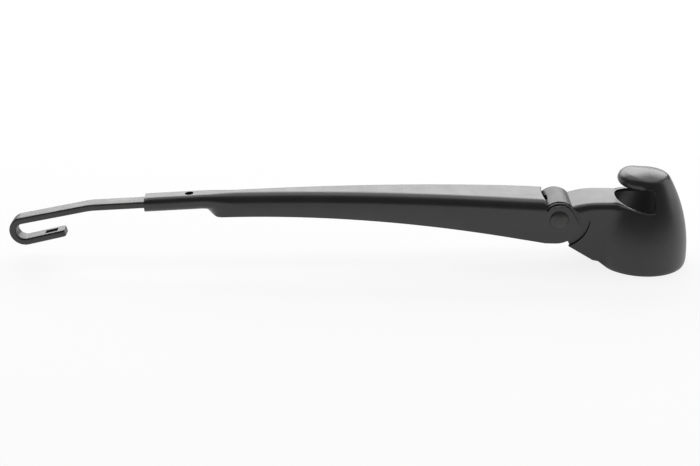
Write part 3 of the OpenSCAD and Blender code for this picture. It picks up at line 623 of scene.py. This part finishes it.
def back_lower_grid():
    """The dome's wall behind the opening's end, up to the crown."""
    i = 3 + np.linspace(0, 1, 34)
    wall = wall_rows(i)[:26]
    z = np.linspace(wall[-1, 0, 2], crown_foot_z, 12)[1:, None]
    x, y, _, _ = plan(i + 0 * z, z + 0 * i)
    return np.concatenate([wall, np.stack([x, y, z + 0 * x], -1)])


# %% The crown and visor
dome_top, crown_steps = 53.6, 12
shoulder_z, shoulder_r = 49.5, 5
visor_reach, visor_z, lip_r, brow_r = 16.5, 45.5, 2.9, 5.3


def crown_profile(start, centre, radius, first_a):
    """A starting stretch, a small arc, and the crown's large arc that touches it and ends on the axis."""
    h = dome_top - centre[1]
    crown_r = (centre[0] ** 2 + h**2 - radius**2) / (2 * (h - radius))
    last_a = math.degrees(math.atan2(centre[1] - dome_top + crown_r, centre[0]))
    small = ring_arc(*centre, radius, first_a, last_a, crown_steps)
    return np.concatenate([start, small, ring_arc(0, dome_top - crown_r, crown_r, last_a, 90, 24)[1:]])


shoulder_a = math.degrees(math.asin((shoulder_z - wide_z) / dome_arc_r))
shoulder_c = np.array([float(dome_radius(np.array(shoulder_z))), shoulder_z]) - shoulder_r * way(shoulder_a)
rise = np.linspace(crown_foot_z, shoulder_z, crown_steps + 1)[:-1]
back_profile = crown_profile(np.stack([dome_radius(rise), rise], -1), shoulder_c, shoulder_r, shoulder_a)
lip = ring_arc(visor_reach - lip_r, visor_z + lip_r, lip_r, -90, 0, crown_steps + 1)[:-1]
front_profile = crown_profile(lip, (visor_reach - brow_r, visor_z + lip_r - 0.5), brow_r, 6)


def crown_grid(a):
    """Back profile turned round the spindle, blended into the front one where the visor looks out."""
    share = smooth(-np.cos(a))[None, :, None]
    profile = mix(back_profile[:, None], front_profile[:, None], share)
    return np.stack([profile[..., 0] * np.cos(a), profile[..., 0] * np.sin(a), profile[..., 1]], -1)


end_a = math.acos(slot_reach / back_profile[0, 0])
visor = crown_grid(np.linspace(end_a, math.pi, 48))[:, ::-1]
crown = crown_grid(np.linspace(end_a, 0, 34))
halves = [front_grid(), np.concatenate([back_lower_grid(), crown[1:]]), visor]
cover = new_piece("cover_shell", halves + [mirrored(grid) for grid in halves], turn_out=True)
print("cover's open skin", len(cover.data.polygons), "faces")
thicken(cover, 2)
soften(cover, 0.3)
settle(cover)


# %% The cover's prongs
def both_plates(grids, y0, y1):
    """Flat plates from y0 to y1 on both sides of the arm, from grids of their side view in x and z."""
    far_side = [np.stack([g[..., 0], 0 * g[..., 0] + y1, g[..., 1]], -1) for g in grids]
    plates = new_piece("prongs", far_side + [mirrored(g) for g in far_side])
    thicken(plates, y1 - y0)
    soften(plates, 0.15)
    return settle(plates)


def polar(radius, angle):
    """Points round the pivot in the side view."""
    a = np.radians(angle)
    return np.stack([pivot_x + radius * np.cos(a), pivot_z + radius * np.sin(a)], -1)


eye_r, eye_rim_r, prong_r, prong_low_a = 7.56, 9.66, 19.1, -66.6
lip_d, lip_a = 9.715, 53.8


def prong_grids():
    """A ring round the bush flange, and a plate from it back to the flank, cut off along the lip's line."""
    r = np.concatenate([np.linspace(eye_r, eye_rim_r, 4), np.linspace(eye_rim_r, prong_r, 16)[1:]])[:, None]
    high = lip_a - np.degrees(np.arccos(np.minimum(lip_d / r, 1)))
    plate = polar(r, mix(prong_low_a, high, np.linspace(0, 1, 28)[None]))
    ring = polar(r[:4], np.linspace(lip_a, 360 + prong_low_a, 48)[None])
    return [plate, ring]


join(cover, both_plates(prong_grids(), 11.3, 12.6))
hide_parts("head_cover")
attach(cover, "cover")


# %% [markdown]
# ## The pivot rivet
#
# The rivet is a headed steel pin through ears, bushes and knuckle. Its profile is turned about the pivot's
# axis: a shank, a short straight rim, a wide round edge and a low dome, the same at both ends. A cylinder with
# a Bevel would have a flat top, and the turned profile gives the head its true curve.

# %% The rivet
head_r, rim_h, dome_h, edge = 5.35, 0.1, 1.7, 0.95
ball_r = ((head_r - edge) ** 2 + dome_h**2 - edge**2) / (2 * (dome_h - edge))
ball_y = ear_outer + rim_h + dome_h - ball_r
ball_a = math.asin((head_r - edge) / (ball_r - edge))
rim_y = ball_y + (ball_r - edge) * math.cos(ball_a)
dome_line = ring_arc(ball_y, 0, ball_r, 0, math.degrees(ball_a), 14)[:, ::-1]
rim_line = ring_arc(rim_y, head_r - edge, edge, math.degrees(ball_a), 90, 7)[1:, ::-1]
half_rivet = np.concatenate([dome_line, rim_line, [[head_r, ear_outer], [4, ear_outer]]])
rivet = turned("rivet_pin", np.concatenate([half_rivet, half_rivet[::-1] * [1, -1]]))
settle(rivet, 55)
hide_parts("pivot_rivet")
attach(rivet, "arm")

# %% [markdown]
# ## The tension spring
#
# Round wire is wound close into a coil, with a loop at each end: one through the link's eye, one through the
# hole in the bar's tail. A curve with a round bevel could draw it as well. Here the path is a formula, an
# arc, a helix and another arc, so that turns, length and loops are single numbers. A ring of points is
# carried along it without twisting.

# %% The spring's path
link_len, coil_r, wire_r, coil_turns = 28, 4.5, 0.9, 30
front_eye_r, back_eye_r, turn_in = 3.8, 4, 1.6
spring_run = np.array([anchor[0] - pin_x, anchor[1] - pin_z])
spring_len = float(np.linalg.norm(spring_run))
coil_start, coil_end = link_len + 9, spring_len - 26.6


def spring_path():
    """Middle line of the wire, with X along the spring from the link pin."""
    loop = ring_arc(link_len + front_eye_r - 0.25, 0, front_eye_r, 55, 270, 30)
    loop = np.stack([loop[:, 0], loop[:, 1], 0 * loop[:, 0]], -1)
    lead = ring_arc(coil_start - turn_in, -turn_in, turn_in, 90, 0, 8)
    lead = np.stack([lead[:, 0], 0 * lead[:, 0] - coil_r, lead[:, 1]], -1)
    u = np.linspace(0.006, 0.994, coil_turns * 22)
    a = np.radians(180 + (360 * coil_turns + 90) * u)
    coil = np.stack([mix(coil_start, coil_end, u), coil_r * np.cos(a), coil_r * np.sin(a)], -1)
    out = ring_arc(coil_end + turn_in, -turn_in, turn_in, 180, 90, 8)
    out = np.stack([out[:, 0], out[:, 1], 0 * out[:, 0] - coil_r], -1)
    hook = ring_arc(spring_len - back_eye_r + 0.25, 0, back_eye_r, 270, 485, 30)
    hook = np.stack([hook[:, 0], 0 * hook[:, 0], hook[:, 1]], -1)
    return np.concatenate([loop, lead, coil, out, hook])


def wire_grid(path, radius, sides=12):
    """A ring at each point of the path, square to it, whose start direction is carried along."""
    step = np.gradient(path, axis=0)
    step /= np.linalg.norm(step, axis=1, keepdims=True)
    up = np.array([0.0, 0, 1])
    ups = []
    for t in step:
        up = up - (up @ t) * t
        up = up / np.linalg.norm(up)
        ups.append(up)
    ups = np.stack(ups)
    side = np.cross(step, ups)
    a = np.linspace(0, 2 * math.pi, sides + 1)[None, :, None]
    ring = path[:, None] + radius * (np.cos(a) * ups[:, None] + np.sin(a) * side[:, None])
    middle = path[:, None] + 0 * ring
    return np.concatenate([middle[:1], ring, middle[-1:]])


coil = wire_grid(spring_path(), wire_r)
lean = math.atan2(spring_run[1], spring_run[0])
coil = np.stack([pin_x + coil[..., 0] * math.cos(lean) - coil[..., 2] * math.sin(lean), coil[..., 1],
                 pin_z + coil[..., 0] * math.sin(lean) + coil[..., 2] * math.cos(lean)], -1)
spring = new_piece("spring_wire", [coil])
settle(spring, 60)
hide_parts("tension_spring")
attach(spring, "link")
print("spring", round(spring_len, 1), "mm long")

# %% [markdown]
# ## Parts that stay as they are
#
# Head casting, bushes, link and pin already have their true shape, so they keep their CAD meshes.
# A CAD mesh is loose triangles. Weld joins them, a Bevel by angle breaks the sharp edges as casting and
# punching do, and weighted normals keep the flat faces flat.

# %% Edges of the kept parts
kept_edges = {"mounting_head": 0.5, "spring_link": 0.3, "link_pin": 0.2,
              "pivot_bush_near": 0.15, "pivot_bush_far": 0.15}


def break_edges(node, width):
    """Welds a CAD node's triangles, rounds its sharp edges by that many mm and shades the rest smooth."""
    weld = node.modifiers.new("weld", "WELD")
    weld.merge_threshold = 0.001 * MM
    rounding = soften(node, width, steps=2, angle=35)
    rounding.harden_normals = False
    shade = node.modifiers.new("normals", "WEIGHTED_NORMAL")
    shade.keep_sharp = True
    node.data.polygons.foreach_set("use_smooth", np.ones(len(node.data.polygons), bool))


for name, width in kept_edges.items():
    break_edges(nodes[name], width)
print("kept", list(kept_edges))

# %% [markdown]
# ## Finishes
#
# Everything that shows is either painted black or moulded in black. Satin paint is a thin, even skin: nearly
# black below, with the plain gloss of a clear resin above. It shows as soft, wide reflections on the flat
# faces and deep black where a bend looks away from the light.
# Each finish reads Object coordinates, so its pattern has real sizes in millimetres and stays on the piece.

# %% Nodes and colours
def linear(code):
    """An sRGB hex colour as linear red, green, blue and alpha."""
    srgb = np.array([int(code[k:k + 2], 16) for k in (1, 3, 5)]) / 255
    return (*np.where(srgb < 0.04045, srgb / 12.92, ((srgb + 0.055) / 1.055) ** 2.4), 1)


def add(tree, kind, inputs, **settings):
    """Adds one node: sets its settings, and for each named input a value or the socket that feeds it."""
    node = tree.nodes.new(kind)
    for name, value in settings.items():
        setattr(node, name, value)
    for name, value in inputs.items():
        if isinstance(value, bpy.types.NodeSocket):
            tree.links.new(value, node.inputs[name])
        else:
            node.inputs[name].default_value = value
    return node


def new_finish(name, roughness, ior=1.6, metallic=0.0):
    """An empty finish: its material, node tree, main shader and the place on the piece."""
    finish = bpy.data.materials.new(name)
    finish.use_nodes = True
    tree = finish.node_tree
    skin = tree.nodes["Principled BSDF"]
    skin.inputs["Roughness"].default_value = roughness
    skin.inputs["IOR"].default_value = ior
    skin.inputs["Metallic"].default_value = metallic
    return finish, tree, skin, add(tree, "ShaderNodeTexCoord", {}).outputs["Object"]


def grain(tree, place, size, detail=2.0):
    """A soft noise whose blotches are about that many mm across."""
    settings = {"Vector": place, "Scale": 1 / (size * MM), "Detail": detail}
    return add(tree, "ShaderNodeTexNoise", settings).outputs["Fac"]


def between(tree, factor, low, high):
    """The factor's usual range, 0.3 to 0.7, spread from low to high."""
    return add(tree, "ShaderNodeMapRange", {"Value": factor, "From Min": 0.3, "From Max": 0.7, "To Min": low,
                                            "To Max": high}).outputs["Result"]


def tint(tree, skin, factor, dark, light):
    """The surface's colour, wandering between two hex colours with the factor."""
    ramp = add(tree, "ShaderNodeValToRGB", {"Fac": factor})
    for stop, code, at in zip(ramp.color_ramp.elements, (dark, light), (0.35, 0.65)):
        stop.position = at
        stop.color = linear(code)
    tree.links.new(ramp.outputs["Color"], skin.inputs["Base Color"])


def relief(tree, skin, layers):
    """Bumps laid on each other, from the height and the depth in mm of each layer."""
    normal = None
    for height, depth in layers:
        inputs = {"Height": height, "Distance": depth * MM}
        if normal:
            inputs["Normal"] = normal
        normal = add(tree, "ShaderNodeBump", inputs).outputs["Normal"]
    tree.links.new(normal, skin.inputs["Normal"])


# %% [markdown]
# ### Satin black paint on steel
#
# Pressed sheet, bar, rivet and casting are dipped or sprayed with black paint and baked. The wet film draws
# itself into shallow waves one to two millimetres wide, called orange peel, before it sets. A little dust
# leaves fine specks. The casting's film is thinner and shows the rougher mould skin below.

# %% Painted steel
def satin_paint(name, dark, light, roughness, peel):
    """Black paint: a wandering tone, a slightly uneven gloss, orange peel and fine dust."""
    finish, tree, skin, place = new_finish(name, roughness)
    cloud = grain(tree, place, 22)
    tint(tree, skin, cloud, dark, light)
    gloss = between(tree, grain(tree, place, 9), roughness - 0.03, roughness + 0.03)
    tree.links.new(gloss, skin.inputs["Roughness"])
    relief(tree, skin, [(grain(tree, place, 1.6, 1), peel), (grain(tree, place, 0.25), 0.0012)])
    return finish


sheet_paint = satin_paint("satin black paint on pressed steel", "#272827", "#2c2d2b", 0.34, 0.006)
bar_paint = satin_paint("satin black paint on flat bar", "#2a2b2a", "#2f302e", 0.36, 0.006)
rivet_paint = satin_paint("satin black paint on a rivet", "#2b2a29", "#31302e", 0.36, 0.004)
casting_paint = satin_paint("thin black paint on die casting", "#222322", "#292a28", 0.45, 0.012)

# %% [markdown]
# ### Moulded black plastic
#
# The cover is glass-filled nylon, moulded in black. The tool's face was polished and then lightly blasted,
# which leaves an even satin with a fine grain, softer than the paint's waves.

# %% Moulded plastic
def moulded_black(name, dark, light, roughness):
    """Black plastic: a faint wandering tone and the fine grain of a blasted mould."""
    finish, tree, skin, place = new_finish(name, roughness, ior=1.58)
    tint(tree, skin, grain(tree, place, 30), dark, light)
    gloss = between(tree, grain(tree, place, 6), roughness - 0.02, roughness + 0.02)
    tree.links.new(gloss, skin.inputs["Roughness"])
    relief(tree, skin, [(grain(tree, place, 2.4, 1), 0.004), (grain(tree, place, 0.3), 0.0015)])
    return finish


cover_plastic = moulded_black("moulded black nylon", "#262726", "#2a2b29", 0.34)

# %% [markdown]
# ### Zinc-plated steel and bearing plastic
#
# Link, pin and spring are steel with a thin bright zinc plate, which is silvery with a slightly cloudy gloss.
# The bushes are acetal, a cream-white plastic that is smooth and a little waxy.

# %% Zinc plate and acetal
def zinc_plate(name):
    """Bright zinc: a cool silver metal whose gloss wanders with the crystals of the plate."""
    finish, tree, skin, place = new_finish(name, 0.3, ior=1.5, metallic=1.0)
    tint(tree, skin, grain(tree, place, 4), "#b4b7b9", "#c6c8c9")
    tree.links.new(between(tree, grain(tree, place, 1.1), 0.24, 0.38), skin.inputs["Roughness"])
    relief(tree, skin, [(grain(tree, place, 0.4), 0.002)])
    return finish


def acetal(name):
    """Cream bearing plastic: waxy, with a little light let in below the surface."""
    finish, tree, skin, place = new_finish(name, 0.42, ior=1.48)
    tint(tree, skin, grain(tree, place, 12), "#ddd6c2", "#e4ddca")
    skin.inputs["Subsurface Weight"].default_value = 0.15
    skin.inputs["Subsurface Scale"].default_value = 0.6 * MM
    relief(tree, skin, [(grain(tree, place, 0.5), 0.002)])
    return finish


zinc_steel = zinc_plate("zinc-plated steel")
bush_plastic = acetal("cream acetal")

# %% Each part gets its finish
worn_by = [(channel, sheet_paint), (bar, bar_paint), (rivet, rivet_paint), (cover, cover_plastic),
           (spring, zinc_steel), (nodes["mounting_head"], casting_paint), (nodes["spring_link"], zinc_steel),
           (nodes["link_pin"], zinc_steel), (nodes["pivot_bush_near"], bush_plastic),
           (nodes["pivot_bush_far"], bush_plastic)]
for piece, finish in worn_by:
    piece.data.materials.clear()
    piece.data.materials.append(finish)
    print(piece.name, "in", finish.name)

# %% [markdown]
# ## Floor, light and camera
#
# The arm lies on a white table. Black satin paint hardly shows its own colour: what one sees is the room in
# it. So a large soft panel stands behind the arm and draws the pale upper faces, a weaker one hangs over it,
# and a small one at the right lights the dome's far side. The table below fills the side walls, and the rest
# of the room stays dim, which leaves the bends dark.

# %% The table
def white_table():
    """A wide white floor that takes shadows, and that camera and gloss see as a white background."""
    size, z = 4000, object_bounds()[0][2] / MM
    corners = np.array([[[-size, -size, z], [size, -size, z]], [[-size, size, z], [size, size, z]]])
    floor = new_piece("table_top", [corners])
    finish = bpy.data.materials.new("white table")
    finish.use_nodes = True
    tree = finish.node_tree
    tree.nodes.clear()
    seen = add(tree, "ShaderNodeLightPath", {})
    camera_or_gloss = add(tree, "ShaderNodeMath", {0: seen.outputs["Is Camera Ray"],
                                                   1: seen.outputs["Is Glossy Ray"]}, operation="ADD")
    any_look = add(tree, "ShaderNodeMath", {0: camera_or_gloss.outputs[0],
                                            1: seen.outputs["Is Transmission Ray"]}, operation="ADD")
    share = add(tree, "ShaderNodeMath", {0: any_look.outputs[0], 1: 0.85}, operation="MULTIPLY")
    paper = add(tree, "ShaderNodeBsdfDiffuse", {"Color": linear("#fafafa")})
    glow = add(tree, "ShaderNodeEmission", {"Color": linear("#ffffff"), "Strength": 1.0})
    look = add(tree, "ShaderNodeMixShader", {0: share.outputs[0], 1: paper.outputs[0], 2: glow.outputs[0]})
    add(tree, "ShaderNodeOutputMaterial", {"Surface": look.outputs[0]})
    floor.data.materials.append(finish)
    floor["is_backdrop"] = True
    return floor


print("floor", white_table().name)
scene = bpy.context.scene
scene.view_settings.view_transform = "Standard"


# %% Panels and room light
def panel(name, place, target, width, height, watts):
    """A soft rectangular lamp at a place, turned to face its target."""
    lamp = bpy.data.lights.new(name, "AREA")
    lamp.shape = "RECTANGLE"
    lamp.size, lamp.size_y, lamp.energy = width, height, watts
    holder = bpy.data.objects.new(name, lamp)
    scene.collection.objects.link(holder)
    holder.location = place
    holder.rotation_euler = (Vector(target) - Vector(place)).to_track_quat("-Z", "Y").to_euler()
    return holder


panel("rear panel", (-0.17, 1.5, 0.85), (-0.17, 0, 0.02), 2.4, 1.2, 37)
panel("overhead panel", (-0.17, 0.4, 1.6), (-0.17, 0.1, 0.02), 2.4, 1.0, 12)
panel("right panel", (1.2, 0.3, 0.5), (-0.05, 0, 0.02), 1.0, 0.9, 4)
room = bpy.data.worlds.new("dim room")
room.use_nodes = True
room.node_tree.nodes["Background"].inputs["Color"].default_value = linear("#ffffff")
room.node_tree.nodes["Background"].inputs["Strength"].default_value = 0.12
scene.world = room

# %% The camera
camera = bpy.data.objects.new("camera", bpy.data.cameras.new("camera"))
scene.collection.objects.link(camera)
scene.camera = camera
camera.data.lens = 66.34
camera.data.sensor_width = 36
camera.location = (-0.171, -0.6877, 0.3343)
camera.rotation_euler = (math.radians(65), 0, 0)
